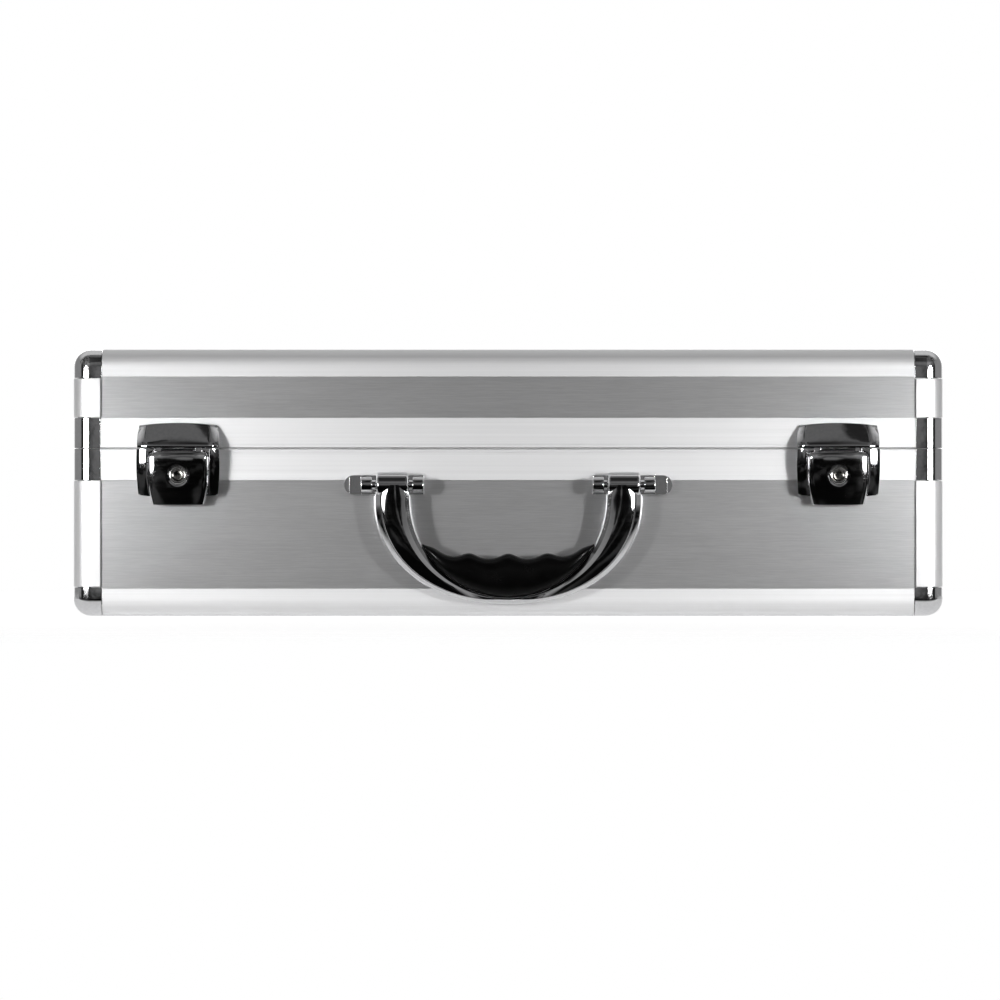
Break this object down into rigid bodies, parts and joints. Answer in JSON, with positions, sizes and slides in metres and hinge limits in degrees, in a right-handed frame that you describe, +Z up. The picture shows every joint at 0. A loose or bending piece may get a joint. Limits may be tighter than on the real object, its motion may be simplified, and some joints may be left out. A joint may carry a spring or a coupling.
{
  "type": "tool case",
  "caption": "Shallow aluminium-framed carrying case with a back-hinged lid, locking hasp latches, chrome corners and a swinging handle with a soft grip.",
  "frame": {"origin": "on the resting plane under the centre of the whole object's bounding box, case lying on its base", "axes": "+X to the right seen from the handle side, +Y from the handle side to the hinge side, +Z up from the base to the lid"},
  "size_m": [0.457, 0.361, 0.14],
  "materials": {
    "profile_aluminium": "satin clear anodised extrusion",
    "panel_aluminium": "brushed aluminium sheet on board, grain running across",
    "corner_chrome": "polished chrome plate",
    "fitting_chrome": "polished chrome plate",
    "hinge_steel": "bright nickel plated steel",
    "lock_metal": "nickel plated key barrel",
    "grip_plastic": "soft black satin plastic",
    "foam": "charcoal open-cell foam"
  },
  "bodies": {
    "base": {"base_shell": "panel_aluminium", "base_rim_frame": "profile_aluminium", "base_bottom_edge_front": "profile_aluminium", "base_bottom_edge_back": "profile_aluminium", "base_bottom_edge_left": "profile_aluminium", "base_bottom_edge_right": "profile_aluminium", "base_post_front_left": "profile_aluminium", "base_post_front_right": "profile_aluminium", "base_post_back_left": "profile_aluminium", "base_post_back_right": "profile_aluminium", "base_ball_corner_front_left": "corner_chrome", "base_ball_corner_front_right": "corner_chrome", "base_ball_corner_back_left": "corner_chrome", "base_ball_corner_back_right": "corner_chrome", "base_rim_corner_front_left": "corner_chrome", "base_rim_corner_front_right": "corner_chrome", "base_rim_corner_back_left": "corner_chrome", "base_rim_corner_back_right": "corner_chrome", "base_foam": "foam", "handle_bracket_left": "fitting_chrome", "handle_bracket_right": "fitting_chrome", "handle_pin_left": "hinge_steel", "handle_pin_right": "hinge_steel", "latch_base_plate_left": "fitting_chrome", "latch_base_plate_right": "fitting_chrome", "hinge_base_leaf_left": "hinge_steel", "hinge_base_leaf_right": "hinge_steel", "hinge_pin_left": "hinge_steel", "hinge_pin_right": "hinge_steel"},
    "lid": {"lid_shell": "panel_aluminium", "lid_rim_frame": "profile_aluminium", "lid_top_edge_front": "profile_aluminium", "lid_top_edge_back": "profile_aluminium", "lid_top_edge_left": "profile_aluminium", "lid_top_edge_right": "profile_aluminium", "lid_post_front_left": "profile_aluminium", "lid_post_front_right": "profile_aluminium", "lid_post_back_left": "profile_aluminium", "lid_post_back_right": "profile_aluminium", "lid_ball_corner_front_left": "corner_chrome", "lid_ball_corner_front_right": "corner_chrome", "lid_ball_corner_back_left": "corner_chrome", "lid_ball_corner_back_right": "corner_chrome", "lid_rim_corner_front_left": "corner_chrome", "lid_rim_corner_front_right": "corner_chrome", "lid_rim_corner_back_left": "corner_chrome", "lid_rim_corner_back_right": "corner_chrome", "lid_foam": "foam", "latch_lid_plate_left": "fitting_chrome", "latch_lid_plate_right": "fitting_chrome", "latch_hinge_pin_left": "hinge_steel", "latch_hinge_pin_right": "hinge_steel", "hinge_lid_leaf_left": "hinge_steel", "hinge_lid_leaf_right": "hinge_steel"},
    "handle": {"handle_bow": "fitting_chrome", "handle_grip": "grip_plastic"},
    "left_latch_flap": {"latch_flap_left": "fitting_chrome"},
    "right_latch_flap": {"latch_flap_right": "fitting_chrome"},
    "left_latch_lock": {"latch_lock_barrel_left": "lock_metal"},
    "right_latch_lock": {"latch_lock_barrel_right": "lock_metal"}
  },
  "joints": [
    {"name": "lid_hinge", "type": "hinge", "parent": "base", "child": "lid", "pos_m": [0, 0.1735, 0.088], "axis": [-1, 0, 0], "range_deg": [0, 100]},
    {"name": "handle_swing", "type": "hinge", "parent": "base", "child": "handle", "pos_m": [0, -0.1715, 0.0688], "axis": [-1, 0, 0], "range_deg": [0, 170]},
    {"name": "left_flap_swing", "type": "hinge", "parent": "lid", "child": "left_latch_flap", "pos_m": [-0.173, -0.169, 0.0835], "axis": [-1, 0, 0], "range_deg": [0, 95]},
    {"name": "right_flap_swing", "type": "hinge", "parent": "lid", "child": "right_latch_flap", "pos_m": [0.173, -0.169, 0.0835], "axis": [-1, 0, 0], "range_deg": [0, 95]},
    {"name": "left_lock_turn", "type": "hinge", "parent": "left_latch_flap", "child": "left_latch_lock", "pos_m": [-0.173, -0.1675, 0.0739], "axis": [0, 1, 0], "range_deg": [0, 90]},
    {"name": "right_lock_turn", "type": "hinge", "parent": "right_latch_flap", "child": "right_latch_lock", "pos_m": [0.173, -0.1675, 0.0739], "axis": [0, 1, 0], "range_deg": [0, 90]}
  ]
}
